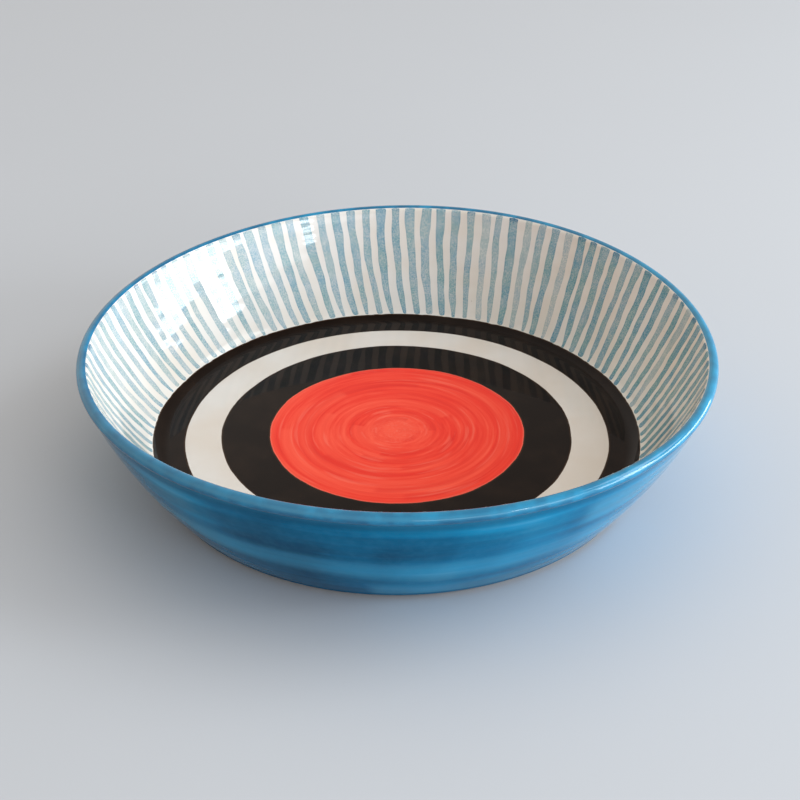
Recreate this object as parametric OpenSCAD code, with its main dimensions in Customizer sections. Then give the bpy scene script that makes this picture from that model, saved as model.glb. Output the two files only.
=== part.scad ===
// A hand-thrown stoneware soup plate, painted and glazed in coats.
// The plate stands on Z = 0 with the wheel's axis on Z. All sizes are millimetres.

/* [Plate] */
// Outer diameter over the glazed lip
rim_d = 221.4; // [200:0.2:250]
// Height from the table to the top of the lip
plate_h = 49.2; // [44:0.2:56]
// Diameter where the clay wall, carried on down, would meet the table
foot_d = 167; // [156:0.5:176]
// Thickness of the clay wall
wall_t = 2.9; // [2.2:0.1:3.1]
// Radius of the wall's outward bow, through the middle of the lip
bow_r = 160; // [120:1:240]
// Thickness of the clay floor
floor_t = 5.4; // [4:0.2:7]
// Radius of the inside corner where the clay floor turns up into the wall
corner_r = 9.4; // [6:0.2:12]
// Diameter of the rolled clay lip, which is flush inside and proud outside
lip_d = 3.2; // [3:0.1:4.4]

/* [Foot] */
// Depth of the recess inside the foot ring
recess_h = 3; // [2.4:0.1:3.8]
// Width of the flat face that the plate stands on
foot_face_w = 5; // [3:0.2:8]
// Radius of the foot ring's rounded edges
foot_edge_r = 1.1; // [0.6:0.1:1.4]
// Radius of the cove round the recess
cove_r = 2; // [1:0.1:2.3]

/* [Glazes] */
// Thickness of the blue glaze outside and under the floor
blue_t = 0.4; // [0.3:0.05:0.6]
// Thickness of the blue glaze over the lip
lip_glaze_t = 0.4; // [0.3:0.05:0.6]
// Where the lip's blue starts, as an angle from straight up to the inside
blue_start_angle = 40; // [10:1:60]
// Thickness of the off-white glaze on the inside of the wall
white_t = 0.4; // [0.3:0.05:0.6]
// Height of the bare clay between the table and the blue glaze
bare_foot_h = 1.4; // [1.2:0.1:2]
// Radius of the soft roll where the outside glaze stops
glaze_roll_r = 0.55; // [0.4:0.05:0.7]

/* [Painted rings] */
// How far below the wall the outer black ring stops, along the inside corner
black_drop = 3; // [1:0.2:5]
// Width of the outer black ring, seen from above
outer_black_w = 11.3; // [8:0.1:14]
// Width of the cream ring
cream_w = 12.6; // [10:0.1:16]
// Width of the inner black ring
inner_black_w = 17.4; // [12:0.2:22]
// Thickness of both black rings
black_t = 0.4; // [0.3:0.05:0.6]
// Thickness of the cream ring
cream_t = 0.45; // [0.3:0.05:0.6]
// Thickness of the red centre
red_t = 0.45; // [0.3:0.05:0.6]

/* [Brushed stripes] */
// Number of stripes round the wall
stripe_count = 109; // [60:1:116]
// Width of a full stripe at its top
stripe_w = 3.7; // [1.5:0.1:3.9]
// Thickness of the paint in a stripe
stripe_t = 0.28; // [0.2:0.02:0.4]
// How far below the lip's blue glaze the brush lands
stripe_top_gap = 0.6; // [0.3:0.1:4]
// How far above the outer black ring the brush lifts
stripe_foot_gap = 0.5; // [0.3:0.1:4]
// How far a stripe's ends may stop short of that
stripe_short = 0.9; // [0:0.1:3]
// How far a stripe's foot lies to one side of its head
stripe_lean = 3.6; // [0:0.1:6]
// How far a stripe bows to the other side halfway down
stripe_bow = 1.1; // [0:0.1:2]
// How far a stripe sways to either side of that
stripe_sway = 0.35; // [0:0.05:0.5]

/* [Hidden] */
$fn = 240;

// How far a corner's arc runs past the faces that it joins
arc_overrun = 0.004;

// The lip's roll, and the centre of the arcs that both faces of the wall lie on
lip_r = lip_d / 2;
lip_centre = [rim_d / 2 - lip_glaze_t - lip_r, plate_h - lip_glaze_t - lip_r];
inner_r = bow_r - lip_r;
outer_r = inner_r + wall_t;
bow_centre = inner_crossing(lip_centre, bow_r, [foot_d / 2, 0], outer_r);
lip_way = toward(bow_centre, lip_centre);
// Where the line from the lip through the bow's centre meets the plate's axis
axis_z = lip_centre.y - lip_centre.x * lip_way.y / lip_way.x;

// The inside corner: its arc touches both the clay floor and the wall
floor_z = recess_h + floor_t;
corner_centre = [across(inner_r - corner_r, floor_z + corner_r), floor_z + corner_r];
corner_way = toward(bow_centre, corner_centre);

// The foot's outer edge: its arc touches both the table and the wall
edge_centre = [across(outer_r - foot_edge_r, foot_edge_r), foot_edge_r];
edge_way = toward(bow_centre, edge_centre);
foot_inner_r = edge_centre.x - foot_face_w - foot_edge_r;

// The glaze's own arcs on the wall and in the inside corner, and the angle where they meet
wall_face_r = inner_r - white_t;
corner_face_r = corner_r - white_t;
corner_angle = atan2(corner_way.y, corner_way.x);

// The stripes' run, measured up the glaze from where the inside corner ends, over the wall
// and on round the lip to where the blue starts
lip_face_r = lip_r + white_t;
lip_angle = atan2(lip_way.y, lip_way.x);
lip_run = PI * wall_face_r * (lip_angle - corner_angle) / 180;
blue_run = lip_run + PI * lip_face_r * (90 + lip_angle - blue_start_angle) / 180;
run_bottom = stripe_foot_gap - black_drop;
run_top = blue_run - stripe_top_gap;

// The rings' outer edges, worked inwards from the corner to the red centre
outer_black_r = over_glaze(-black_drop, 0).x;
cream_r = outer_black_r - outer_black_w;
inner_black_r = cream_r - cream_w;
red_r = inner_black_r - inner_black_w;

// Where a stripe's cross-sections lie along its run, and how wide each is
station_shares = [0, 0.025, 0.1, 0.3, 0.5, 0.72, 0.9, 0.98, 1];
width_shares = [0.34, 0.6, 0.74, 0.84, 0.9, 0.96, 1, 0.92, 0.7];
// The flat top of the paint as a share of a stripe's width
crown_share = 0.8;
// The narrowest stripe as a share of the full width
narrow_share = 0.76;
// Waves that a stripe sways through from its bottom to its top
sway_waves = 0.8;
stripe_pitch = 360 / stripe_count;
// Seeds of the hand's unevenness, one for each thing that varies
width_seed = 11;
sway_seed = 23;
foot_seed = 37;
top_seed = 41;
width_draws = rands(narrow_share, 1, stripe_count, width_seed);
sway_draws = rands(0, 360, stripe_count, sway_seed);
foot_draws = rands(0, 1, stripe_count, foot_seed);
top_draws = rands(0, 1, stripe_count, top_seed);

function toward(from, to) = (to - from) / norm(to - from);
// The angle that an arc of a radius turns through over a length
function turn(length, r) = 180 * length / (PI * r);
function around(p, angle) = [p.x * cos(angle), p.x * sin(angle), p.y];
// Where two circles cross, on the side nearer the plate's axis
function inner_crossing(p, p_r, q, q_r) =
    let (gap = norm(q - p), way = toward(p, q),
         along = (p_r * p_r - q_r * q_r + gap * gap) / (2 * gap))
    p + along * way + sqrt(p_r * p_r - along * along) * [way.y, -way.x];
// Distance from the plate's axis to an arc round the bow's centre, at a height
function across(r, z) = bow_centre.x + sqrt(r * r - pow(z - bow_centre.y, 2));

// A point over the wall's glaze, as distance from the axis and height
function over_glaze(run, lift) =
    run > lip_run
    ? let (a = 180 + lip_angle - turn(run - lip_run, lip_face_r))
      lip_centre + (lip_face_r + lift) * [cos(a), sin(a)]
    : run >= 0
    ? let (a = corner_angle + turn(run, wall_face_r))
      bow_centre + (wall_face_r - lift) * [cos(a), sin(a)]
    : let (a = corner_angle + turn(run, corner_face_r))
      corner_centre + (corner_face_r - lift) * [cos(a), sin(a)];

// The solid outline inside the wall's outer face, grown by a coat
module outer_outline(coat) {
    difference() {
        intersection() {
            translate(bow_centre) circle(outer_r + coat);
            below_lip();
        }
        beyond_arc(edge_centre, edge_way, foot_edge_r);
    }
}

// The hollow above the floor and inside the wall, shrunk by a coat
module hollow_outline(coat) {
    difference() {
        intersection() {
            translate(bow_centre) circle(inner_r - coat);
            translate([0, floor_z + coat]) square([rim_d, axis_z]);
        }
        beyond_arc(corner_centre, corner_way, corner_r - coat);
    }
}

// What lies under the line from the bow's centre through the middle of the lip
module below_lip() {
    far = lip_centre + lip_d * lip_way;
    polygon([[0, 0], [far.x, 0], far, [0, axis_z]]);
}

// The lip's inner side, from where the blue starts round to straight down
module lip_inside() {
    reach = 2 * lip_d;
    angles = [90 + blue_start_angle, 180, 225, 270];
    polygon([lip_centre, for (a = angles) lip_centre + reach * [cos(a), sin(a)]]);
}

// What a rounded corner cuts away, from straight down round to the arc's last touch
module beyond_arc(centre, way, r) {
    reach = 2 * r;
    difference() {
        polygon([centre, centre - [0, reach], centre + [reach, -reach], centre + reach * way]);
        translate(centre) circle(r + arc_overrun);
    }
}

// The recess under the floor, shrunk by a coat
module recess_outline(coat) {
    square([foot_inner_r - coat, recess_h - cove_r]);
    square([foot_inner_r - cove_r, recess_h - coat]);
    translate([foot_inner_r - cove_r, recess_h - cove_r]) circle(cove_r - coat);
}

// The foot ring's rounded inner edge, as the piece cut away
module inner_edge_outline() {
    difference() {
        translate([foot_inner_r, 0]) square(foot_edge_r);
        translate([foot_inner_r + foot_edge_r, foot_edge_r]) circle(foot_edge_r);
    }
}

module lip_outline(coat) {
    translate(lip_centre) circle(lip_r + coat);
}

module clay_outline() {
    difference() {
        outer_outline(0);
        hollow_outline(0);
        recess_outline(0);
        inner_edge_outline();
    }
    lip_outline(0);
}

// A coat on the floor and the inside of the wall, between two distances from the axis
module inner_coat_outline(from_r, to_r, coat) {
    difference() {
        intersection() {
            hollow_outline(0);
            below_lip();
            translate([from_r, 0]) square([to_r - from_r, plate_h]);
        }
        hollow_outline(coat);
    }
}

module clay_body() {
    color("#a9805f") rotate_extrude() clay_outline();
}

module outside_glaze() {
    roll_centre_z = bare_foot_h + glaze_roll_r;
    color("#1d5f85") rotate_extrude() difference() {
        union() {
            intersection() {
                outer_outline(blue_t);
                translate([0, roll_centre_z]) square([rim_d, plate_h]);
            }
            translate([across(outer_r, roll_centre_z), roll_centre_z]) circle(glaze_roll_r);
        }
        outer_outline(0);
        lip_outline(lip_glaze_t);
    }
}

module underside_glaze() {
    color("#2c6f93") rotate_extrude() difference() {
        intersection() {
            recess_outline(0);
            translate([0, bare_foot_h]) square([foot_d, recess_h]);
        }
        recess_outline(blue_t);
    }
}

module lip_glaze() {
    color("#3a8cb8") rotate_extrude() difference() {
        lip_outline(lip_glaze_t);
        clay_outline();
        lip_inside();
    }
}

module wall_glaze() {
    color("#ece8de") rotate_extrude() difference() {
        union() {
            inner_coat_outline(outer_black_r, rim_d / 2, white_t);
            intersection() {
                lip_outline(white_t);
                lip_inside();
            }
        }
        clay_outline();
    }
}

module outer_black_ring() {
    color("#2b2624") rotate_extrude() inner_coat_outline(cream_r, outer_black_r, black_t);
}

module cream_ring() {
    color("#dfd6cb") rotate_extrude() inner_coat_outline(inner_black_r, cream_r, cream_t);
}

module inner_black_ring() {
    color("#2b2624") rotate_extrude() inner_coat_outline(red_r, inner_black_r, black_t);
}

module red_centre() {
    color("#e8503c") rotate_extrude() inner_coat_outline(0, red_r, red_t);
}

// The four corners of a stripe's cross-section, seated on the glaze
function cross_section(angle, half, run) =
    let (low = over_glaze(run, 0), high = over_glaze(run, stripe_t))
    [
        around(low, angle - half), around(low, angle + half),
        around(high, angle + half * crown_share), around(high, angle - half * crown_share)
    ];

// One stroke of the brush, from just above the black ring to just below the lip
module stripe(i) {
    bottom = run_bottom + stripe_short * foot_draws[i];
    top = run_top - stripe_short * top_draws[i];
    top_r = over_glaze(run_top, 0).x;
    stations = len(station_shares);
    points = [
        for (k = [0 : stations - 1])
            let (up = station_shares[k],
                 aside = stripe_lean * up + 4 * stripe_bow * up * (1 - up)
                     + stripe_sway * sin(sway_draws[i] + 360 * sway_waves * up))
            each cross_section(
                i * stripe_pitch + turn(aside, top_r),
                turn(stripe_w / 2, top_r) * width_draws[i] * width_shares[k],
                bottom + (top - bottom) * up)
    ];
    last = 4 * (stations - 1);
    faces = [
        [0, 1, 2], [0, 2, 3],
        [last + 2, last + 1, last], [last + 3, last + 2, last],
        for (k = [0 : stations - 2], side = [0 : 3])
            let (a = 4 * k + side, b = 4 * k + (side + 1) % 4)
            each [[a, a + 4, b], [b, a + 4, b + 4]]
    ];
    polyhedron(points, faces);
}

module wall_stripes() {
    color("#9db9c9") for (i = [0 : stripe_count - 1]) stripe(i);
}

clay_body();
outside_glaze();
underside_glaze();
lip_glaze();
wall_glaze();
wall_stripes();
outer_black_ring();
cream_ring();
inner_black_ring();
red_centre();
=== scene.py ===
"""A hand-thrown soup plate, painted with blue strokes and black, cream and red rings.

Lengths are in millimetres on the plate and become metres where a mesh is made. Angles are in
radians, but for the windows', which are in degrees. A run is a length along the plate's inside:
up the wall from the top of the inside corner, and below zero round the corner and over the floor.
"""

import math
import random

import bmesh
import bpy
import numpy as np
from mathutils import Matrix, Vector


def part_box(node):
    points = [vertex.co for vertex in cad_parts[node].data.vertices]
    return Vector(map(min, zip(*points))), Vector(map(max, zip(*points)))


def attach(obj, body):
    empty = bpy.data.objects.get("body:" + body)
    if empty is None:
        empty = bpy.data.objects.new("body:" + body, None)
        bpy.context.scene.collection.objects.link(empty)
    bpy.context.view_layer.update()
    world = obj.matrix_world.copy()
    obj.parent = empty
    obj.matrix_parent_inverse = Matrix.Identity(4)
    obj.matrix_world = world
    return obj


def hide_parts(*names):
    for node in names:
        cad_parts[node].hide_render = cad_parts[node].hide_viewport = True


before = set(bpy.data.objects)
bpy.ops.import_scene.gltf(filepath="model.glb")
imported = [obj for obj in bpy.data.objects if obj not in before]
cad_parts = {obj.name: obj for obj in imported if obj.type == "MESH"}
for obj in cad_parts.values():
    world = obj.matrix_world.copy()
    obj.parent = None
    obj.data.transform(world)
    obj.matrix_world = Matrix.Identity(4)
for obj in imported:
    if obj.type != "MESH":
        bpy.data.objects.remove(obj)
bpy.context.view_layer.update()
MM = 0.001
TURN = 2 * math.pi


def reach_of(node):
    """How far a node reaches from the plate's axis, and its lowest and highest points"""
    low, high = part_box(node)
    return high.x / MM, low.z / MM, high.z / MM


# The plate's section, as its maker would measure it
RIM_R, _, PLATE_H = reach_of("lip_glaze")
_, CLAY_FLOOR_Z, FLOOR_Z = reach_of("inner_black_ring")
BOW_R = 160.0
FOOT_R = 83.5
WALL_T = 2.9
COAT = 0.4
PROUD_COAT = COAT + 0.05
LIP_R = 1.6
CORNER_R = 9.4
BLUE_START = math.radians(40)
BARE_FOOT_H = 1.4
GLAZE_ROLL_R = 0.55
FOOT_EDGE_R = 1.1
FOOT_FACE_W = 5.0
RECESS_H = 3.0
COVE_R = 2.0

# The painted rings' outer edges
BLACK_OUT = reach_of("outer_black_ring")[0]
CREAM_OUT = reach_of("cream_ring")[0]
BLACK_IN = reach_of("inner_black_ring")[0]
RED_OUT = reach_of("red_centre")[0]


def crossings(p, p_r, q, q_r):
    """The two points where two circles of a section cross"""
    gap = np.subtract(q, p)
    span = np.hypot(*gap)
    way = gap / span
    along = (p_r**2 - q_r**2 + span**2) / (2 * span)
    aside = math.sqrt(p_r**2 - along**2) * np.array([way[1], -way[0]])
    return [p + along * way + aside, p + along * way - aside]


def lower(points):
    return min(points, key=lambda point: point[1])


def upper(points):
    return max(points, key=lambda point: point[1])


def angle_of(centre, point):
    return math.atan2(point[1] - centre[1], point[0] - centre[0])


# Centres and radii of the section's arcs
LIP = np.array([RIM_R - COAT - LIP_R, PLATE_H - COAT - LIP_R])
INNER_R = BOW_R - LIP_R
OUTER_R = INNER_R + WALL_T
BOW = min(crossings(LIP, BOW_R, (FOOT_R, 0), OUTER_R), key=lambda point: point[0])


def centre_at(r, height):
    """A point at a height, on the arc of a radius round the bow's centre"""
    return np.array([BOW[0] + math.sqrt(r**2 - (height - BOW[1]) ** 2), height])


CORNER = centre_at(INNER_R - CORNER_R, CLAY_FLOOR_Z + CORNER_R)
FOOT_EDGE = centre_at(OUTER_R - FOOT_EDGE_R, FOOT_EDGE_R)
RECESS_R = FOOT_EDGE[0] - FOOT_FACE_W - FOOT_EDGE_R

# The glaze's face inside: its arcs, the angles at which they meet, and the runs there
FACE_WALL_R = INNER_R - COAT
FACE_CORNER_R = CORNER_R - COAT
FACE_LIP_R = LIP_R + COAT
CORNER_TOP = angle_of(BOW, CORNER)
LIP_LEAN = angle_of(BOW, LIP)
CORNER_RUN = FACE_CORNER_R * (math.pi / 2 + CORNER_TOP)
LIP_RUN = FACE_WALL_R * (LIP_LEAN - CORNER_TOP)
BLUE_RUN = LIP_RUN + FACE_LIP_R * (math.pi / 2 + LIP_LEAN - BLUE_START)
BLACK_TOP = math.acos((BLACK_OUT - CORNER[0]) / FACE_CORNER_R)
BLACK_RUN = -FACE_CORNER_R * (CORNER_TOP + BLACK_TOP)


def run_at(radius):
    """The run at which the flat floor has a radius"""
    return -CORNER_RUN - (CORNER[0] - radius)


def inside_face(run, lift):
    """Radius and height of the inside, at a run up it and a lift off its glaze"""
    run, lift = np.broadcast_arrays(run, lift)
    wall = CORNER_TOP + run / FACE_WALL_R
    corner = CORNER_TOP + run / FACE_CORNER_R
    lip = math.pi + LIP_LEAN - (run - LIP_RUN) / FACE_LIP_R
    places = [run > LIP_RUN, run >= 0, run > -CORNER_RUN]
    radius = np.select(
        places,
        [
            LIP[0] + (FACE_LIP_R + lift) * np.cos(lip),
            BOW[0] + (FACE_WALL_R - lift) * np.cos(wall),
            CORNER[0] + (FACE_CORNER_R - lift) * np.cos(corner),
        ],
        CORNER[0] + run + CORNER_RUN,
    )
    height = np.select(
        places,
        [
            LIP[1] + (FACE_LIP_R + lift) * np.sin(lip),
            BOW[1] + (FACE_WALL_R - lift) * np.sin(wall),
            CORNER[1] + (FACE_CORNER_R - lift) * np.sin(corner),
        ],
        FLOOR_Z + lift,
    )
    return radius, height


# How far the thrown plate is out of true at its lip. A wave round the rim is its count and the
# sizes of its cosine and sine parts.
RIM_WAVES = ((2, -0.094, -0.148), (3, -0.034, -0.55))
LIP_WAVES = ((2, -0.5, 0.75),)
RIM_SHRINK = 0.77
LIP_DROP = 1.15
LEAN_X, LEAN_Y = math.radians(0.25), math.radians(-0.01)
SHIFT = (0.178, 0.104)

# Throwing marks: a shallow spiral that the fingers leave in the wall
MARK_PITCH = 6.5
MARK_DEPTH = 0.035
MARK_SWELL, MARK_RIPPLE, MARK_RIPPLE_RUN = 0.6, 0.4, 9
OUTSIDE_PHASE = 2.0
OUTSIDE_FADE = 1 / 12

# How a brushed edge strays from its circle: the counts and shares of its waves
EDGE_WAVES = (
    (2, 0.5), (3, 0.4), (5, 0.35), (9, 0.24), (17, 0.16), (31, 0.1), (57, 0.06), (90, 0.03),
)
# How far each brushed edge strays, and the seed of its waves
CREAM_STRAY, BLACK_STRAY, RED_STRAY, WALL_STRAY = (0.22, 3), (0.3, 5), (0.3, 8), (0.3, 13)
# The brush's nicks in the black ring's top, where three waves are high together
NICK_DEPTH = 0.25
NICK_WAVES = ((83, 0), (37, 1), (11, 2))


def waves(turn, parts):
    return sum(c * np.cos(n * turn) + s * np.sin(n * turn) for n, c, s in parts)


def thrown(radius, height, turn):
    """Points of the true section, moved to where the potter's hands left them"""
    up = np.clip((height - FLOOR_Z) / (PLATE_H - FLOOR_Z), 0, 1)
    radius = radius + up * (waves(turn, RIM_WAVES) - RIM_SHRINK)
    x = radius * np.cos(turn) + up * SHIFT[0]
    y = radius * np.sin(turn) + up * SHIFT[1]
    z = height + up * (waves(turn, LIP_WAVES) - LIP_DROP + LEAN_X * x + LEAN_Y * y)
    return np.stack(np.broadcast_arrays(x, y, z), -1)


def marks(run, turn, phase=0.0):
    swell = MARK_SWELL * np.sin(2 * turn + phase)
    ripple = MARK_RIPPLE * np.sin(5 * turn + run / MARK_RIPPLE_RUN)
    return MARK_DEPTH * (1 + swell + ripple) * np.sin(TURN * run / MARK_PITCH + turn + phase)


def hand_edge(turn, size, seed):
    """How far a brushed edge strays from its circle, round the plate"""
    draw = random.Random(seed)
    stray = 0
    for count, share in EDGE_WAVES:
        stray = stray + size * share * np.sin(count * turn + draw.uniform(0, TURN))
    return stray


def cream_edge(turn):
    return run_at(CREAM_OUT + hand_edge(turn, *CREAM_STRAY))


def black_edge(turn):
    return run_at(BLACK_IN + hand_edge(turn, *BLACK_STRAY))


def red_edge(turn):
    return run_at(RED_OUT + hand_edge(turn, *RED_STRAY))


def middle(turn):
    return run_at(0 * turn)


def wall_edge(turn):
    nicks = math.prod(np.sin(count * turn + start) for count, start in NICK_WAVES)
    return BLACK_RUN + hand_edge(turn, *WALL_STRAY) - NICK_DEPTH * np.clip(nicks, 0, 1)


def lip_edge(turn):
    return BLUE_RUN + 0 * turn


# Meshes: the points of a turn, how near points are welded in metres, how near the axis counts as
# on it, and the fold at which an edge is sharp
AROUND = 540
WELD = 1e-7
ON_AXIS = 1e-6
FOLD = math.radians(40)

# Places on the bake. A flat piece's face and hidden sides are discs there, and another's strips.
BAKE_MARGIN = 0.002
FACE_DISC, FACE_DISC_R = 0.5, 0.495
HIDDEN_DISC, HIDDEN_DISC_R = 0.075, 0.065
FACE_STRIP = 0.92
HIDDEN_STRIP = 0.93


def turns():
    return np.linspace(0, TURN, AROUND, endpoint=False)[:, None]


def crowded(count, crowding):
    """Numbers from 0 to 1, closer together toward both ends"""
    even = np.linspace(0, 1, count)
    return crowding * (0.5 - 0.5 * np.cos(math.pi * even)) + (1 - crowding) * even


def arc(centre, r, start, end, count):
    """Radii and heights along an arc of the section"""
    angles = np.linspace(start, end, count)
    return centre[0] + r * np.cos(angles), centre[1] + r * np.sin(angles)


def cut(stretch, start=1, end=None):
    """A stretch of the section without the end points that its neighbours have"""
    return stretch[0][start:end], stretch[1][start:end]


def join(*stretches):
    """One section from its stretches, with a row for each turn"""
    return [
        np.concatenate([np.broadcast_to(part, (AROUND, np.shape(part)[-1])) for part in parts], 1)
        for parts in zip(*stretches)
    ]


def bake_places(points, shown, flat):
    """Where each point of a lathed piece lies on the bake, on its face and on its hidden sides"""
    count = points.shape[1]
    ring = np.concatenate([points, points[:1]])
    ring = np.concatenate([ring, ring[:, :1]], 1)
    if flat:
        spread = ring[..., :2] / np.abs(points[..., :2]).max()
        return FACE_DISC + FACE_DISC_R * spread, HIDDEN_DISC + HIDDEN_DISC_R * spread
    around = np.broadcast_to(np.linspace(0, 1, AROUND + 1)[:, None], ring.shape[:2])
    up = np.broadcast_to(np.arange(count + 1)[None], ring.shape[:2])
    past = np.clip((up - shown + 1) / (count - shown + 1), 0, 1)
    face = np.stack([around, FACE_STRIP * up / (shown - 1)], -1)
    hidden = np.stack([around, HIDDEN_STRIP + (1 - HIDDEN_STRIP) * past], -1)
    return face, hidden


def lathe(name, section, shown, finish, node, flat=False, values=None):
    """Turns a closed section into a piece, whose first points are the face that is shown"""
    radius, height = section
    points = thrown(radius, height, turns())
    count = radius.shape[1]
    closed_on_axis = np.abs(radius[:, [0, -1]]).max() < ON_AXIS
    face_uv, hidden_uv = bake_places(points, shown, flat)
    columns = np.arange(count - 1 if closed_on_axis else count)
    i, j = np.meshgrid(np.arange(AROUND), columns, indexing="ij")
    i, j = i.ravel(), j.ravel()
    corners = [(i, j), (i, j + 1), (i + 1, j + 1), (i + 1, j)]
    faces = np.stack([(a % AROUND) * count + b % count for a, b in corners], -1)
    on_face = (j < shown - 1)[:, None]
    places = [np.where(on_face, face_uv[a, b], hidden_uv[a, b]) for a, b in corners]
    return new_piece(
        name, points.reshape(-1, 3), faces, np.stack(places, 1), finish, node, FOLD,
        values or {},
    )


def new_piece(name, points, faces, places, finish, node, fold, values):
    """A smooth closed piece, with its place on the bake and the numbers that its finish reads"""
    mesh = bpy.data.meshes.new(name)
    mesh.from_pydata((points * MM).tolist(), [], faces.tolist())
    layer = mesh.uv_layers.new(name="OFBake")
    places = np.clip(places, BAKE_MARGIN, 1 - BAKE_MARGIN)
    layer.data.foreach_set("uv", places.astype(np.float32).ravel())
    for key, numbers in values.items():
        if np.ndim(numbers) == 2:
            numbers = np.broadcast_to(numbers, (AROUND, len(points) // AROUND))
        attribute = mesh.attributes.new(key, "FLOAT", "POINT")
        attribute.data.foreach_set("value", numbers.astype(np.float32).ravel())
    body = bmesh.new()
    body.from_mesh(mesh)
    bmesh.ops.remove_doubles(body, verts=body.verts, dist=WELD)
    bmesh.ops.recalc_face_normals(body, faces=body.faces)
    body.to_mesh(mesh)
    body.free()
    mesh.polygons.foreach_set("use_smooth", np.ones(len(mesh.polygons), bool))
    mesh.set_sharp_from_angle(angle=fold)
    mesh.materials.append(finish)
    piece = bpy.data.objects.new(name, mesh)
    bpy.context.scene.collection.objects.link(piece)
    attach(piece, "root")
    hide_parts(node)
    return piece


# The coats inside. Each thins toward its edges, by a depth and over a width.
EDGE_DIP = 0.02
EDGE_SOFT = 0.3
ROW_CROWDING = 0.35


def inside_coat(start, end, coat, rows, throwing=0.0):
    """The section of a coat between two runs, face first, and how near each point is to an edge"""
    turn = turns()
    run = start(turn) + (end(turn) - start(turn)) * crowded(rows, ROW_CROWDING)
    near = np.minimum(run - start(turn), end(turn) - run)
    top = coat - COAT - EDGE_DIP * np.exp(-((near / EDGE_SOFT) ** 2)) + throwing * marks(run, turn)
    section = join(inside_face(run, top), inside_face(run[:, ::-1], -COAT))
    return section, {"near": np.concatenate([near, near[:, ::-1]], 1)}


def make_wall(finish):
    rows = 64
    section, values = inside_coat(wall_edge, lip_edge, COAT, rows, throwing=1.0)
    lathe("wall_glaze_coat", section, rows, finish, "wall_glaze", values=values)


def make_rings(black, cream, red):
    """The rings on the floor, each from its inner edge to its outer one"""
    for name, start, end, coat, rows, finish, slot, node in (
        (
            "outer_black_coat", cream_edge, wall_edge, COAT, 30,
            black, "ring_black", "outer_black_ring",
        ),
        ("cream_coat", black_edge, cream_edge, PROUD_COAT, 16, cream, "ring_cream", "cream_ring"),
        (
            "inner_black_coat", red_edge, black_edge, COAT, 20,
            black, "ring_black", "inner_black_ring",
        ),
        ("red_coat", middle, red_edge, PROUD_COAT, 48, red, "centre_red", "red_centre"),
    ):
        section, values = inside_coat(start, end, coat, rows)
        lathe(name, section, rows, finish, node, flat=True, values=values)


def lip_cross(r, wall_r):
    """The angle round the lip at which a circle round it meets an arc of the wall's outside"""
    return angle_of(LIP, lower(crossings(LIP, r, BOW, wall_r)))


# Angles round the lip: where its coat meets the outside's coat and the clay, and where it starts
GLAZE_CREASE = lip_cross(FACE_LIP_R, OUTER_R + COAT)
COAT_FOOT = lip_cross(FACE_LIP_R, OUTER_R)
CLAY_CREASE = lip_cross(LIP_R, OUTER_R)
BLUE_ANGLE = math.pi / 2 + BLUE_START


def outer_angle(lip_r, lip_angle):
    """The angle round the bow's centre of a point on a circle round the lip"""
    return angle_of(BOW, LIP + lip_r * np.array([math.cos(lip_angle), math.sin(lip_angle)]))


def make_lip(finish):
    """The lip's coat, whose finish reads how far round the lip a point is from the blue's start"""
    rows = 40
    face = arc(LIP, FACE_LIP_R, BLUE_ANGLE, GLAZE_CREASE, rows)
    tuck = arc(LIP, FACE_LIP_R, GLAZE_CREASE, COAT_FOOT, 4)
    under_end = outer_angle(LIP_R, CLAY_CREASE)
    under = arc(BOW, OUTER_R, outer_angle(FACE_LIP_R, COAT_FOOT), under_end, 4)
    back = arc(LIP, LIP_R, CLAY_CREASE, BLUE_ANGLE, rows)
    section = join(face, cut(tuck), under, back)
    near = np.zeros((1, section[0].shape[1]))
    near[0, :rows] = np.linspace(0, 1, rows) * (BLUE_ANGLE - GLAZE_CREASE) * FACE_LIP_R
    lathe("lip_coat", section, rows, finish, "lip_glaze", values={"near": near})


def make_outside(finish):
    rows, roll_rows = 72, 12
    roll = centre_at(OUTER_R, BARE_FOOT_H + GLAZE_ROLL_R)
    roll_top = upper(crossings(BOW, OUTER_R + COAT, roll, GLAZE_ROLL_R))
    roll_foot = lower(crossings(BOW, OUTER_R, roll, GLAZE_ROLL_R))
    angles = np.linspace(outer_angle(FACE_LIP_R, GLAZE_CREASE), angle_of(BOW, roll_top), rows)
    share = np.linspace(0, 1, rows)
    # The throwing marks fade out at both ends, so that the coat meets its neighbours
    fade = np.minimum(1, np.minimum(share, 1 - share) / OUTSIDE_FADE)
    run = (angles - angles[-1]) * OUTER_R
    r = OUTER_R + COAT + fade * marks(run, turns(), OUTSIDE_PHASE)
    face = BOW[0] + r * np.cos(angles), BOW[1] + r * np.sin(angles)
    bead_ends = angle_of(roll, roll_top), angle_of(roll, roll_foot)
    bead = arc(roll, GLAZE_ROLL_R, *bead_ends, roll_rows)
    back = arc(BOW, OUTER_R, angle_of(BOW, roll_foot), outer_angle(FACE_LIP_R, COAT_FOOT), rows)
    tuck = arc(LIP, FACE_LIP_R, COAT_FOOT, GLAZE_CREASE, 5)
    section = join(face, cut(bead), back, cut(tuck, 1, -1))
    shown = rows + roll_rows - 1
    lathe("outside_coat", section, shown, finish, "outside_glaze")


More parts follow.
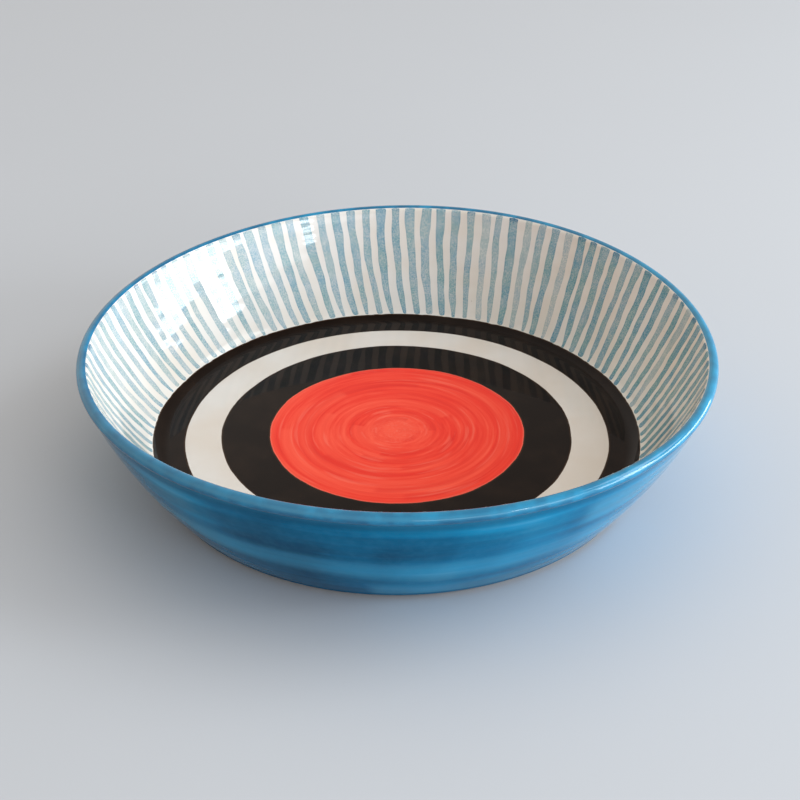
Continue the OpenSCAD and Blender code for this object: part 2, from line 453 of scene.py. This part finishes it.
def make_underside(finish):
    rows, bend_rows = 44, 8
    cove = (RECESS_R - COVE_R, RECESS_H - COVE_R)
    face_r, stop = COVE_R - COAT, BARE_FOOT_H - cove[1]
    ceiling = np.linspace(0, cove[0], rows), np.full(rows, RECESS_H - COAT)
    bend = arc(cove, face_r, math.pi / 2, math.asin(stop / face_r), bend_rows)
    back = arc(cove, COVE_R, math.asin(stop / COVE_R), math.pi / 2, bend_rows)
    top = np.linspace(cove[0], 0, 4), np.full(4, RECESS_H)
    section = join(ceiling, cut(bend), back, cut(top))
    shown = rows + bend_rows - 1
    lathe(
        "underside_coat", section, shown, finish, "underside_glaze", flat=True
    )


def make_clay(finish):
    """The fired clay under the coats, bare at the foot"""
    floor = np.array([0, CORNER[0]]), np.full(2, CLAY_FLOOR_Z)
    inside = inside_face(np.linspace(-CORNER_RUN, BLUE_RUN, 60)[1:], -COAT)
    lip = arc(LIP, LIP_R, BLUE_ANGLE, CLAY_CREASE, 20)
    touch = angle_of(BOW, FOOT_EDGE)
    wall = arc(BOW, OUTER_R, outer_angle(LIP_R, CLAY_CREASE), touch, 60)
    edge = arc(FOOT_EDGE, FOOT_EDGE_R, touch, -math.pi / 2, 8)
    face = arc((RECESS_R + FOOT_EDGE_R, FOOT_EDGE_R), FOOT_EDGE_R, -math.pi / 2, -math.pi, 7)
    cove = arc((RECESS_R - COVE_R, RECESS_H - COVE_R), COVE_R, 0, math.pi / 2, 8)
    ceiling = np.array([0]), np.array([RECESS_H])
    section = join(floor, inside, lip, wall, edge, face, cove, ceiling)
    lathe("clay_plate", section, section[0].shape[1], finish, "clay_body")


# The strokes, each a thin ribbon of paint seated on the wall's glaze
STROKE_SEED = 29
STROKE_COUNT = 109
STROKE_W = 3.9
STROKE_LIFT = 0.035
STROKE_CROWN = 0.012
STROKE_SUNK = 0.05
STROKE_FOLD = math.radians(80)
STROKE_ROWS = 46
STROKE_COLUMNS = 7
STROKE_SIZE = STROKE_ROWS * STROKE_COLUMNS
STROKE_CROWDING = 0.75

# How a stroke runs. It leans most at one side of the plate, and bends like a bow.
PLACE_STRAY = 0.06
LEAN, SIDE_LEAN, LEAN_SIDE = 2.6, 3.0, math.radians(130)
LEAN_DRIFT, LEAN_STRAY, LEAN_COUNTS = 0.7, 0.3, (5, 9, 14)
BEND, BEND_DRIFT, BEND_STRAY, BEND_COUNTS = 1.1, 0.7, 0.35, (4, 7, 12)
# Its waves from side to side and in width: their sizes, and their least and most counts
LONG_SWAY, LONG_SWAY_COUNT = 0.26, 0.9
SWAYS = ((0.15, 1.6, 2.6), (0.04, 4, 6))
SWELLS = ((0.09, 0.8, 2.2), (0.05, 3, 5))
# Its ends and width. Some strokes start with little more than the brush's tip.
FOOT_STRAY = (-0.1, 0.3)
HEAD_STRAY = (-0.12, 0.12)
WIDTHS = (0.8, 1.12)
FOOT_WIDTH, WIDENING_POWER = 0.64, 0.8
TIP_CHANCE, TIP_WIDTH, TIP_WIDENING = 0.25, 0.5, 3.2
FOOT_ROUNDING, HEAD_ROUNDING = 0.7, 0.35
LEAST_WIDTH = 0.004

# How far a stroke's paint is thinned: by chance, more toward one side, and a few much more. The
# thinning toward one side is painted light, standing in for the window's light and reflection that
# wash that side of the wall out
CHANCE_WATER, SIDE_PAINTED_LIGHT, PAINTED_LIGHT_SIDE = 0.35, 0.2, math.radians(165)
PALE_CHANCE, PALE_WATER = 0.08, (0.6, 0.85)

# The strokes' places on the bake: rows of cells, each with a stroke's face and its hidden sides,
# by where they start in the cell and how wide they are
ATLAS_COLUMNS = 55
CELL_W, CELL_H = 1 / ATLAS_COLUMNS, 0.5
CELL_FOOT, CELL_RISE = 0.01, 0.97
CELL_FACE = (0.04, 0.8)
CELL_HIDDEN = (0.88, 0.06)


def drift(draw, counts):
    """A slow change round the plate, from -1 to 1, that neighbouring strokes share"""
    parts = [(count, draw.uniform(0, TURN)) for count in counts]
    return lambda turn: sum(math.sin(count * turn + start) for count, start in parts) / len(parts)


def waver(draw, share, size, least, most):
    """A wave along a stroke, with a drawn count and start"""
    return size * np.sin(TURN * (draw.uniform(least, most) * share + draw.random()))


def stroke_path(draw, index, leaning, bending):
    """One stroke of the brush: its angles, runs and half widths, from its foot to its head"""
    share = crowded(STROKE_ROWS, STROKE_CROWDING)
    base = TURN * (index + draw.uniform(-PLACE_STRAY, PLACE_STRAY)) / STROKE_COUNT
    lean = LEAN + SIDE_LEAN * math.cos(base - LEAN_SIDE) + LEAN_DRIFT * leaning(base)
    lean = lean + draw.uniform(-LEAN_STRAY, LEAN_STRAY)
    bend = BEND + BEND_DRIFT * bending(base) + draw.uniform(-BEND_STRAY, BEND_STRAY)
    aside = lean * (share - 0.5) + 4 * bend * share * (1 - share)
    aside = aside + LONG_SWAY * np.sin(TURN * (LONG_SWAY_COUNT * share + draw.random()))
    for sway in SWAYS:
        aside = aside + waver(draw, share, *sway)
    turn = base + aside / LIP[0]
    foot = wall_edge(turn[0]) + draw.uniform(*FOOT_STRAY)
    head = BLUE_RUN + draw.uniform(*HEAD_STRAY)
    run = foot + (head - foot) * share
    widening = (1 - FOOT_WIDTH) * share**WIDENING_POWER
    width = draw.uniform(*WIDTHS) * (FOOT_WIDTH + widening)
    for swell in SWELLS:
        width = width * (1 + waver(draw, share, *swell))
    if draw.random() < TIP_CHANCE:
        width = width * np.clip(TIP_WIDTH + TIP_WIDENING * share, 0, 1)
    half = 0.5 * STROKE_W * width
    from_foot = np.clip(1 - (run - foot) / (FOOT_ROUNDING * half[0]), 0, 1)
    from_head = np.clip(1 - (head - run) / HEAD_ROUNDING, 0, 1)
    foot_round = np.sqrt(np.clip(1 - from_foot**2, LEAST_WIDTH, 1))
    head_round = np.clip(1 - from_head**4, LEAST_WIDTH, 1)
    return turn, run, half * foot_round * head_round


def stroke_paint(draw, index):
    """How far a stroke's paint is thinned, with painted light making it paler toward one side, and
    the chance that decides how it pools
    """
    # Painted light: strokes are thinned more toward one side of the wall, for the light and
    # reflection there
    side = 1 + math.cos(TURN * index / STROKE_COUNT - PAINTED_LIGHT_SIDE)
    water_and_painted_light = CHANCE_WATER * draw.random() ** 2 + SIDE_PAINTED_LIGHT * side
    if draw.random() < PALE_CHANCE:
        water_and_painted_light = draw.uniform(*PALE_WATER)
    return water_and_painted_light, draw.random()


def make_strokes(finish):
    draw = random.Random(STROKE_SEED)
    leaning, bending = drift(draw, LEAN_COUNTS), drift(draw, BEND_COUNTS)
    column = np.linspace(-1, 1, STROKE_COLUMNS)
    points, faces, places = [], [], []
    values = {"aside": [], "upward": [], "headward": [], "dilute_and_painted_light": [], "draw": []}
    for index in range(STROKE_COUNT):
        angle, run, half = stroke_path(draw, index, leaning, bending)
        water_and_painted_light, chance = stroke_paint(draw, index)
        radius = inside_face(run, 0)[0]
        turn = angle[:, None] + half[:, None] * column / radius[:, None]
        rise = marks(run[:, None], turn)
        for lift in (STROKE_LIFT - STROKE_CROWN * column**2, -STROKE_SUNK):
            points.append(thrown(*inside_face(run[:, None], rise + lift), turn).reshape(-1, 3))
            values["aside"].append(np.tile(column, STROKE_ROWS))
            values["upward"].append(np.repeat(run - run[0], STROKE_COLUMNS))
            values["headward"].append(np.repeat(run[-1] - run, STROKE_COLUMNS))
            values["dilute_and_painted_light"].append(np.full(STROKE_SIZE, water_and_painted_light))
            values["draw"].append(np.full(STROKE_SIZE, chance))
        stroke_faces, stroke_places = ribbon_faces(index)
        faces.append(stroke_faces + 2 * STROKE_SIZE * index)
        places.append(stroke_places)
    new_piece(
        "wall_strokes", np.concatenate(points), np.concatenate(faces), np.concatenate(places),
        finish, "wall_stripes", STROKE_FOLD,
        {key: np.concatenate(parts) for key, parts in values.items()},
    )


def ribbon_faces(index):
    """The faces of one ribbon, its top, underside and rim, and their places on the bake"""
    rows, columns = STROKE_ROWS, STROKE_COLUMNS
    grid = np.arange(STROKE_SIZE).reshape(rows, columns)
    rim = np.concatenate([grid[0], grid[1:, -1], grid[-1, -2::-1], grid[-2:0:-1, 0]])
    after = np.roll(rim, -1)
    top = [grid[:-1, :-1], grid[:-1, 1:], grid[1:, 1:], grid[1:, :-1]]
    top = np.stack(top, -1).reshape(-1, 4)
    under = top[:, ::-1]
    side = np.stack([rim, after, after + STROKE_SIZE, rim + STROKE_SIZE], -1)
    across = np.tile(np.linspace(0, 1, columns), rows)
    up = np.repeat(np.linspace(0, 1, rows), columns)
    left, foot = (index % ATLAS_COLUMNS) * CELL_W, (index // ATLAS_COLUMNS) * CELL_H
    height = foot + CELL_H * (CELL_FOOT + CELL_RISE * up)
    shown, hidden = [
        np.stack([left + CELL_W * (start + width * across), height], -1)
        for start, width in (CELL_FACE, CELL_HIDDEN)
    ]
    faces = np.concatenate([top, under + STROKE_SIZE, side])
    return faces, np.concatenate([shown[top], hidden[under], hidden[side % STROKE_SIZE]])


# The finishes


def srgb(red, green, blue):
    """A colour as the eye reads it, 0 to 255, in the renderer's own linear light"""
    parts = [c / 255 for c in (red, green, blue)]
    linear = [c / 12.92 if c <= 0.04045 else ((c + 0.055) / 1.055) ** 2.4 for c in parts]
    return (*linear, 1.0)


def pair(operation, swapped=False):
    """A method that adds a Math node for a signal and another signal or number"""

    def method(signal, other):
        operands = (other, signal) if swapped else (signal, other)
        return signal.finish.math(operation, *operands)

    return method


def single(operation):
    """A method that adds a Math node for a signal alone"""
    return lambda signal: signal.finish.math(operation, signal)


class Signal:
    """One socket of a finish. Arithmetic on it adds Math nodes."""

    def __init__(self, finish, socket):
        self.finish, self.socket = finish, socket

    __add__, __radd__ = pair("ADD"), pair("ADD", swapped=True)
    __sub__, __rsub__ = pair("SUBTRACT"), pair("SUBTRACT", swapped=True)
    __mul__, __rmul__ = pair("MULTIPLY"), pair("MULTIPLY", swapped=True)
    __truediv__, __pow__ = pair("DIVIDE"), pair("POWER")
    at_least, at_most = pair("MAXIMUM"), pair("MINIMUM")
    sine, cosine = single("SINE"), single("COSINE")
    whole, fraction = single("FLOOR"), single("FRACT")
    unsigned = single("ABSOLUTE")

    def rising(self, low, high):
        """0 below low and 1 above high, smoothly"""
        sockets = {"Value": self, "From Min": low, "From Max": high}
        return self.finish.make("ShaderNodeMapRange", sockets, interpolation_type="SMOOTHSTEP")

    def falling(self, low, high):
        """1 below low and 0 above high, smoothly"""
        return 1 - self.rising(low, high)

    def clamped(self):
        return self.at_least(0.0).at_most(1.0)


# The Mix node's sockets for colours, by number, as those for other values have the same names
MIX_FACTOR, MIX_UNDER, MIX_OVER, MIX_RESULT = 0, 6, 7, 2
USUAL_IOR = 1.5


def set_stops(elements, stops):
    """Gives a new ramp its stops, each a position and a colour, from the lowest up"""
    while len(elements) < len(stops):
        elements.new(0.5)
    for element, (position, colour) in zip(elements, stops):
        element.position = position
        element.color = colour


class Finish:
    """One material of the plate, or the sky, and what its nodes are made with"""

    def __init__(self, name, tree=None, coordinates="Object"):
        if tree is None:
            self.material = bpy.data.materials.new(name)
            self.material.use_nodes = True
            tree = self.material.node_tree
        self.nodes, self.links = tree.nodes, tree.links
        self.nodes.clear()
        self.place = self.make("ShaderNodeTexCoord", {}, coordinates)

    def add(self, kind, sockets, stops=(), **settings):
        """A node of a kind: its settings first, then the values or links of its sockets"""
        node = self.nodes.new(kind)
        for key, value in settings.items():
            setattr(node, key, value)
        if stops:
            set_stops(node.color_ramp.elements, stops)
        for key, value in sockets.items():
            if isinstance(value, Signal):
                self.links.new(value.socket, node.inputs[key])
            else:
                node.inputs[key].default_value = value
        return node

    def make(self, kind, sockets, out=0, **settings):
        """One of the outputs of a new node"""
        return Signal(self, self.add(kind, sockets, **settings).outputs[out])

    def math(self, operation, *operands):
        return self.make("ShaderNodeMath", dict(enumerate(operands)), operation=operation)

    def along(self, axis):
        """How far along an axis of the plate a point lies, in millimetres"""
        return self.make("ShaderNodeSeparateXYZ", {"Vector": self.place}, axis) * (1 / MM)

    def radius(self):
        x, y = self.along("X"), self.along("Y")
        return (x * x + y * y) ** 0.5

    def turn(self):
        """The angle round the plate, in whole turns from -0.5 to 0.5"""
        return self.math("ARCTAN2", self.along("Y"), self.along("X")) / TURN

    def stored(self, name):
        return self.make("ShaderNodeAttribute", {}, "Fac", attribute_name=name)

    def noise(self, size, detail=3.0, roughness=0.5, place=None):
        """Noise from 0 to 1 whose patches are about a size in millimetres"""
        if place is None:
            place, size = self.place, size * MM
        sockets = {"Vector": place, "Scale": 1 / size, "Detail": detail, "Roughness": roughness}
        return self.make("ShaderNodeTexNoise", sockets)

    def point(self, x, y, z):
        return self.make("ShaderNodeCombineXYZ", {"X": x, "Y": y, "Z": z})

    def chance(self, number):
        """One number from 0 to 1 for each whole number"""
        sockets = {"W": number}
        return self.make("ShaderNodeTexWhiteNoise", sockets, "Value", noise_dimensions="1D")

    def ramp(self, factor, stops):
        return self.make("ShaderNodeValToRGB", {"Fac": factor}, "Color", stops=stops)

    def blend(self, factor, under, over):
        sockets = {MIX_FACTOR: factor, MIX_UNDER: under, MIX_OVER: over}
        return self.make(
            "ShaderNodeMix", sockets, MIX_RESULT, data_type="RGBA", blend_type="MIX"
        )

    def patches(self, size, low, high, under, over, detail=3.0):
        """Two colours that run into each other in patches of a size"""
        return self.blend(self.noise(size, detail).rising(low, high), under, over)

    def surface(self, colour, roughness, relief=None, depth=0.0, **constants):
        """The finished material. Its relief is from 0 to 1 of a depth in millimetres."""
        sockets = {"Base Color": colour, "Roughness": roughness, "IOR": USUAL_IOR, **constants}
        if relief is not None:
            bump = {"Strength": 1.0, "Distance": depth * MM, "Height": relief}
            sockets["Normal"] = self.make("ShaderNodeBump", bump)
        shader = self.make("ShaderNodeBsdfPrincipled", sockets, "BSDF")
        self.add("ShaderNodeOutputMaterial", {"Surface": shader})
        return self.material


# How smooth and how reflective the glazes are, and how uneven from running in the kiln
GLAZE_ROUGH = 0.05
BLUE_ROUGH = 0.07
RED_ROUGH = 0.12
CLAY_ROUGH = 0.78
BLACK_IOR = 1.2
BLUE_IOR = 1.17
RED_IOR = 1.25
PEEL_SIZE = 4.5
PEEL_DEPTH = 0.003
BLACK_PEEL_DEPTH = 0.002
BLUE_RELIEF = 0.004
RED_RELIEF = 0.03
CLAY_RELIEF = 0.08

# Colours of the glazes and the clay
CLAY = srgb(132, 104, 84)
CLAY_DARK = srgb(98, 74, 58)
IVORY = srgb(231, 228, 222)
IVORY_WARM = srgb(227, 220, 209)
SPECK = srgb(120, 95, 70)
STROKE_DEEP = srgb(28, 98, 136)
STROKE_MID = srgb(66, 141, 168)
STROKE_GREEN = srgb(78, 146, 155)
BLACK = srgb(20, 10, 5)
BLACK_SOFT = srgb(31, 20, 13)
BROWN_EDGE = srgb(72, 50, 34)
CREAM = srgb(219, 215, 210)
CREAM_WARM = srgb(213, 204, 194)
RED = srgb(238, 56, 38)
RED_LIGHT = srgb(248, 90, 66)
RED_DEEP = srgb(222, 40, 30)
RED_EDGE = srgb(244, 112, 92)
BLUE_DEEP = srgb(0, 72, 106)
BLUE_MID = srgb(0, 106, 148)
BLUE_LIGHT = srgb(14, 134, 178)
BLUE_THIN = srgb(78, 160, 194)
LIP_BLUE = srgb(6, 94, 134)
# The pale blue serves the lip's thin glaze, its painted highlight on the crest and painted light
# toward the right
LIP_THIN_AND_LIT = srgb(60, 142, 176)


def glazed(finish, colour, depth=PEEL_DEPTH, **constants):
    """A colour under a smooth glaze that ran a little in the kiln"""
    peel = finish.noise(PEEL_SIZE, detail=1.0, roughness=0.4)
    return finish.surface(colour, GLAZE_ROUGH, peel, depth, **constants)


def ivory(finish):
    return finish.patches(22, 0.35, 0.7, IVORY, IVORY_WARM)


def wall_finish():
    finish = Finish("ivory_glaze")
    specks = finish.noise(1.1, detail=1.0).rising(0.79, 0.83)
    specks = specks * finish.noise(14, detail=1.0).rising(0.55, 0.62)
    return glazed(finish, finish.blend(specks * 0.6, ivory(finish), SPECK))


def stroke_finish():
    """Thinned blue that lets the ivory through, and is darker where the brush let it pool. Its
    thinning also holds painted light, which makes strokes paler toward one side
    """
    finish = Finish("brushed_blue")
    off_middle, chance = finish.stored("aside").unsigned(), finish.stored("draw")
    up, down = finish.stored("upward"), finish.stored("headward")
    grain = finish.noise(0.42, detail=2.0, roughness=0.7).rising(0.36, 0.66)
    streak = finish.noise(5.0).rising(0.3, 0.75)
    pool_head = down.falling(0.4, 2.6) * chance.rising(0.55, 0.95)
    pool_foot = up.falling(0.3, 3.2) * 0.55
    pool_sides = off_middle.rising(0.55, 0.86) * 0.16
    pooled = (pool_head * 0.8 + pool_foot * 0.4 + pool_sides).clamped()
    hue = finish.patches(9, 0.3, 0.7, STROKE_MID, STROKE_GREEN, detail=2.0)
    hue = finish.blend(pooled, hue, STROKE_DEEP)
    # Painted light is in the stored thinning: strokes toward one side of the wall come out paler
    body = 1.08 - 0.4 * grain - 0.16 * streak - 0.52 * finish.stored("dilute_and_painted_light")
    body = body + 0.22 * pool_head + 0.14 * pool_foot + 0.3 * pool_sides
    body = body * off_middle.falling(0.9, 1.0) * up.rising(0.0, 0.12)
    return glazed(finish, finish.blend(body.clamped(), ivory(finish), hue))


def black_finish():
    """Black that thins to brown at its edges"""
    finish = Finish("black_glaze")
    thin = finish.stored("near").falling(0.0, 0.75)
    thin = thin * (0.35 + 0.65 * finish.noise(5, detail=2.0))
    soft = finish.patches(12, 0.4, 0.75, BLACK, BLACK_SOFT)
    return glazed(finish, finish.blend(thin, soft, BROWN_EDGE), BLACK_PEEL_DEPTH, IOR=BLACK_IOR)


def cream_finish():
    finish = Finish("cream_glaze")
    return glazed(finish, finish.patches(26, 0.3, 0.75, CREAM, CREAM_WARM))


# How slowly the brush wanders across its bands, and how far between one load and the next
WANDER_SIZE = 55
LANE_WANDER_SIZE, LANE_WANDER = 45, 6.0


def swept(finish, across, reach, seed=0.0, wander=5.0):
    """A place for noise that is drawn out round the plate, as a brush draws paint on a wheel"""
    turn = finish.turn() * TURN
    aside = finish.noise(WANDER_SIZE, detail=1.0) * wander + across
    return finish.point(aside, turn.cosine() * reach + seed, turn.sine() * reach)


def brush_turns(finish, across, band, seed, hardness):
    """Turns of a loaded brush: each band starts at an angle of its own, and thins as it goes"""
    lane = (finish.noise(LANE_WANDER_SIZE, detail=1.0) * LANE_WANDER + across) / band
    number = lane.whole()
    gone = (finish.turn() + finish.chance(number + seed) + 1.0).fraction()
    edge = lane.fraction().rising(0.0, 0.35) * lane.fraction().falling(0.65, 1.0)
    return ((1 - gone) ** hardness) * edge * gone.rising(0.0, 0.012)


def red_finish():
    """Red in rings of the brush, with a paler middle and a pale edge"""
    finish = Finish("red_glaze")
    radius, near = finish.radius(), finish.stored("near")
    drawn = swept(finish, radius, reach=1.7, wander=2.4)
    rings = finish.noise(1.9, detail=4.0, roughness=0.65, place=drawn)
    tone = 0.6 * rings + 0.4 * finish.noise(7.0, detail=2.0, place=drawn)
    drawn_fine = swept(finish, radius, reach=1.9, seed=30.0, wander=1.6)
    combed = finish.noise(1.5, detail=2.0, place=drawn_fine).rising(0.56, 0.7)
    scribble = radius.falling(5, 12) * finish.noise(1.1, roughness=0.6).rising(0.45, 0.65)
    colour = finish.ramp(tone, ((0.32, RED_DEEP), (0.48, RED), (0.66, RED_LIGHT)))
    for share, over in (
        (brush_turns(finish, radius, band=6.5, seed=3.0, hardness=2.0) * 0.55, RED_LIGHT),
        (brush_turns(finish, radius, band=4.3, seed=17.0, hardness=3.0) * 0.45, RED_DEEP),
        (combed * 0.4, RED_EDGE),
        (radius.falling(4, 9) * 0.7, RED_LIGHT),
        (scribble * 0.3, RED_EDGE),
        (near.falling(0.15, 0.6) * 0.6, RED_EDGE),
    ):
        colour = finish.blend(share, colour, over)
    relief = rings * 0.7 + finish.noise(1.2, detail=2.0) * 0.12
    return finish.surface(colour, RED_ROUGH, relief, RED_RELIEF, IOR=RED_IOR)


def blue_bands(finish, height, seed):
    """Brushed blue, dark where the glaze lies thick and pale where it is thin, and its relief"""
    drawn = swept(finish, height, reach=4.0, seed=seed)
    wide = finish.noise(14.0, detail=2.0, place=drawn)
    fine = finish.noise(2.4, roughness=0.55, place=drawn)
    tone = 0.46 * wide + 0.12 * fine + 0.42 * finish.noise(48, detail=2.0)
    mottle = finish.noise(3.0, detail=4.0).rising(0.35, 0.8)
    stops = ((0.40, BLUE_DEEP), (0.48, BLUE_MID), (0.56, BLUE_LIGHT), (0.64, BLUE_THIN))
    colour = finish.ramp(tone, stops)
    for share, over in (
        (brush_turns(finish, height, band=11, seed=seed, hardness=1.4) * 0.75, BLUE_DEEP),
        (brush_turns(finish, height, band=15, seed=seed + 40, hardness=1.4) * 0.45, BLUE_THIN),
        (mottle * 0.08, BLUE_THIN),
    ):
        colour = finish.blend(share, colour, over)
    return colour, fine * 0.3 + finish.noise(7.0, detail=1.0) * 0.7


def outside_finish():
    finish = Finish("blue_glaze_outside")
    height = finish.along("Z")
    colour, relief = blue_bands(finish, height, seed=4.0)
    # Darker blue toward the top of the outside, just below the lip, and near the foot
    below_lip = height.rising(PLATE_H - 9.5, PLATE_H - 5.0)
    foot = height.falling(BARE_FOOT_H + 0.6, BARE_FOOT_H + 2.4)
    colour = finish.blend((below_lip * 0.5 + foot * 0.7).clamped(), colour, BLUE_DEEP)
    gloss = finish.along("X").rising(50, 108) * 0.8
    return finish.surface(
        colour, BLUE_ROUGH, relief, BLUE_RELIEF, IOR=BLUE_IOR,
        **{"Coat Weight": gloss, "Coat Roughness": GLAZE_ROUGH},
    )


def underside_finish():
    finish = Finish("blue_glaze_underside")
    colour, relief = blue_bands(finish, finish.radius() * 0.5, seed=9.0)
    return finish.surface(colour, BLUE_ROUGH, relief, BLUE_RELIEF, IOR=BLUE_IOR)


def lip_finish():
    """Blue with a pale crest that is thin at its inner edge and darker toward the outside. The
    crest is pale partly from thin glaze and partly as a painted highlight, and the lip has painted
    light toward the right and painted shade toward the left
    """
    finish = Finish("blue_glaze_lip")
    run, x = finish.stored("near"), finish.along("X")
    # The crest's pale band is partly thin glaze and partly a painted highlight
    crest_thin_and_highlight = 0.5 * run.rising(0.3, 1.4) + 0.5 * run.rising(2.4, 3.4)
    crest_thin_and_highlight = crest_thin_and_highlight * run.falling(3.6, 4.9) * (0.35 + 0.5 * finish.noise(11, detail=2.0))
    colour = finish.patches(7, 0.35, 0.7, LIP_BLUE, BLUE_LIGHT)
    for share, over in (
        (crest_thin_and_highlight, LIP_THIN_AND_LIT),
        (run.falling(0.0, 0.35) * 0.55, LIP_THIN_AND_LIT),
        # Painted light: the lip paler toward the plate's brighter right side
        (x.rising(20, 110) * 0.3, LIP_THIN_AND_LIT),
        # Painted shade: the lip darker toward the left side
        (x.falling(-90, -10) * 0.3, LIP_BLUE),
        # Darker toward the outside of the lip
        (run.rising(4.2, 6.2) * 0.55, BLUE_DEEP),
    ):
        colour = finish.blend(share, colour, over)
    return glazed(finish, colour)


def clay_finish():
    finish = Finish("bare_stoneware")
    grit = finish.noise(0.7, roughness=0.7)
    colour = finish.patches(6, 0.3, 0.7, CLAY, CLAY_DARK, detail=4.0)
    colour = finish.blend(grit.rising(0.62, 0.75) * 0.5, colour, CLAY_DARK)
    return finish.surface(colour, CLAY_ROUGH, grit, CLAY_RELIEF)


make_clay(clay_finish())
make_outside(outside_finish())
make_underside(underside_finish())
make_lip(lip_finish())
make_wall(wall_finish())
make_strokes(stroke_finish())
make_rings(black_finish(), cream_finish(), red_finish())


# The studio: a pale floor, windows to the right and in front, and soft light all round
FLOOR_COLOUR = srgb(192, 197, 204)
FLOOR_SHADE = srgb(184, 189, 196)
FLOOR_ROUGH = 0.75
FLOOR_HALF = 3.0
WINDOW_AWAY = 1.3
DAYLIGHT = (0.9, 0.96, 1.0)

# The ways that the sky's brighter sides face, and the colours of all its sides
BRIGHT_WAY = (0.84, -0.48, 0.26)
OVERHEAD_WAY = (0.32, 0.32, 0.89)
LAMP_WAY = (-0.92, 0.3, 0.25)
DIM_SIDE = (0.225, 0.18, 0.14, 1.0)
BRIGHT_SIDE = (0.85, 0.96, 1.1, 1.0)
OVERHEAD = (1.2, 1.12, 1.03, 1.0)
LAMP_SIDE = (0.92, 0.82, 0.69, 1.0)
# What the camera and the reflections see in its place
BACKDROP = srgb(196, 190, 184)
BACKDROP_LIGHT = srgb(250, 245, 238)


def make_floor():
    finish = Finish("pale_floor")
    colour = finish.blend(finish.noise(160) * 0.25, FLOOR_COLOUR, FLOOR_SHADE)
    mesh = bpy.data.meshes.new("floor")
    signs = ((-1, -1), (1, -1), (1, 1), (-1, 1))
    corners = [(FLOOR_HALF * x, FLOOR_HALF * y, 0) for x, y in signs]
    mesh.from_pydata(corners, [], [(0, 1, 2, 3)])
    mesh.materials.append(finish.surface(colour, FLOOR_ROUGH))
    floor = bpy.data.objects.new("floor", mesh)
    bpy.context.scene.collection.objects.link(floor)


def make_pane(name, azimuth, rise, width, height, radiance):
    """A pane of window light, placed and sized by the angles it takes up from the plate"""
    turn, up = math.radians(azimuth), math.radians(rise)
    way = Vector((math.cos(up) * math.cos(turn), math.cos(up) * math.sin(turn), math.sin(up)))
    lamp = bpy.data.lights.new(name, "AREA")
    lamp.shape = "RECTANGLE"
    lamp.size = 2 * WINDOW_AWAY * math.tan(math.radians(width / 2))
    lamp.size_y = 2 * WINDOW_AWAY * math.tan(math.radians(height / 2))
    lamp.energy = radiance * math.pi * lamp.size * lamp.size_y
    lamp.color = DAYLIGHT
    pane = bpy.data.objects.new(name, lamp)
    pane.location = way * WINDOW_AWAY
    pane.rotation_euler = way.to_track_quat("Z", "Y").to_euler()
    pane.visible_camera = False
    bpy.context.scene.collection.objects.link(pane)


def make_window(name, azimuth, rise, width, height, columns, rows, bar, radiance):
    """A window of several panes, with bars between them"""
    pane_w, pane_h = width / columns, height / rows
    for column in range(columns):
        for row in range(rows):
            make_pane(
                f"{name}_{column}_{row}",
                azimuth + (column - (columns - 1) / 2) * pane_w,
                rise + (row - (rows - 1) / 2) * pane_h,
                pane_w - bar,
                pane_h - bar,
                radiance,
            )


def make_world():
    """Soft light: bright on the right and overhead, warmer on the left, and dim elsewhere"""
    world = bpy.data.worlds.new("soft_light")
    bpy.context.scene.world = world
    world.use_nodes = True
    sky = Finish("sky", world.node_tree, "Generated")
    colour = DIM_SIDE
    for way, low, high, over in (
        (BRIGHT_WAY, 0.1, 0.98, BRIGHT_SIDE),
        (LAMP_WAY, 0.3, 0.95, LAMP_SIDE),
        (OVERHEAD_WAY, 0.55, 0.95, OVERHEAD),
    ):
        ways = {0: sky.place, 1: way}
        facing = sky.make("ShaderNodeVectorMath", ways, "Value", operation="DOT_PRODUCT")
        colour = sky.blend(facing.rising(low, high), colour, over)
    camera, glossy, through = [
        sky.make("ShaderNodeLightPath", {}, f"Is {ray} Ray")
        for ray in ("Camera", "Glossy", "Transmission")
    ]
    aside = sky.make("ShaderNodeSeparateXYZ", {0: sky.place}, "X")
    backdrop = sky.blend(aside.rising(-0.25, 0.15), BACKDROP_LIGHT, BACKDROP)
    soft, plain = [
        sky.make("ShaderNodeBackground", {"Color": shown}) for shown in (colour, backdrop)
    ]
    light = sky.make("ShaderNodeMixShader", {0: camera + glossy + through, 1: soft, 2: plain})
    sky.add("ShaderNodeOutputWorld", {"Surface": light})


make_floor()
make_world()
make_window(
    "right_window", azimuth=-8.5, rise=19, width=14, height=15,
    columns=2, rows=2, bar=0.8, radiance=14,
)
make_window(
    "front_window", azimuth=-52.5, rise=20, width=6, height=8,
    columns=1, rows=2, bar=1.0, radiance=12,
)
make_pane("low_window", azimuth=3, rise=7, width=60, height=14, radiance=9.0)
make_pane("middle_window", azimuth=-34, rise=19, width=34, height=16, radiance=2.2)
make_pane("side_window", azimuth=-60, rise=10, width=50, height=18, radiance=1.8)
make_pane("high_window", azimuth=8, rise=42, width=30, height=20, radiance=3.6)


# The camera, where the plate's own ellipses put it
CAMERA_PLACE = (1.09, -474.9, 308.9)
CAMERA_PITCH = math.radians(31.1486)
CAMERA_ROLL = math.radians(0.0987)
CAMERA_LENS = 70.2
CAMERA_SENSOR = 36.0
CAMERA_NEAR = 0.02


def make_camera():
    lens = bpy.data.cameras.new("camera")
    lens.lens = CAMERA_LENS
    lens.sensor_width = CAMERA_SENSOR
    lens.clip_start = CAMERA_NEAR
    camera = bpy.data.objects.new("camera", lens)
    pitch = Matrix.Rotation(math.pi / 2 - CAMERA_PITCH, 4, "X")
    roll = Matrix.Rotation(-CAMERA_ROLL, 4, "Z")
    camera.matrix_world = Matrix.Translation(Vector(CAMERA_PLACE) * MM) @ pitch @ roll
    bpy.context.scene.collection.objects.link(camera)
    bpy.context.scene.camera = camera


make_camera()
bpy.context.scene.view_settings.view_transform = "Standard"
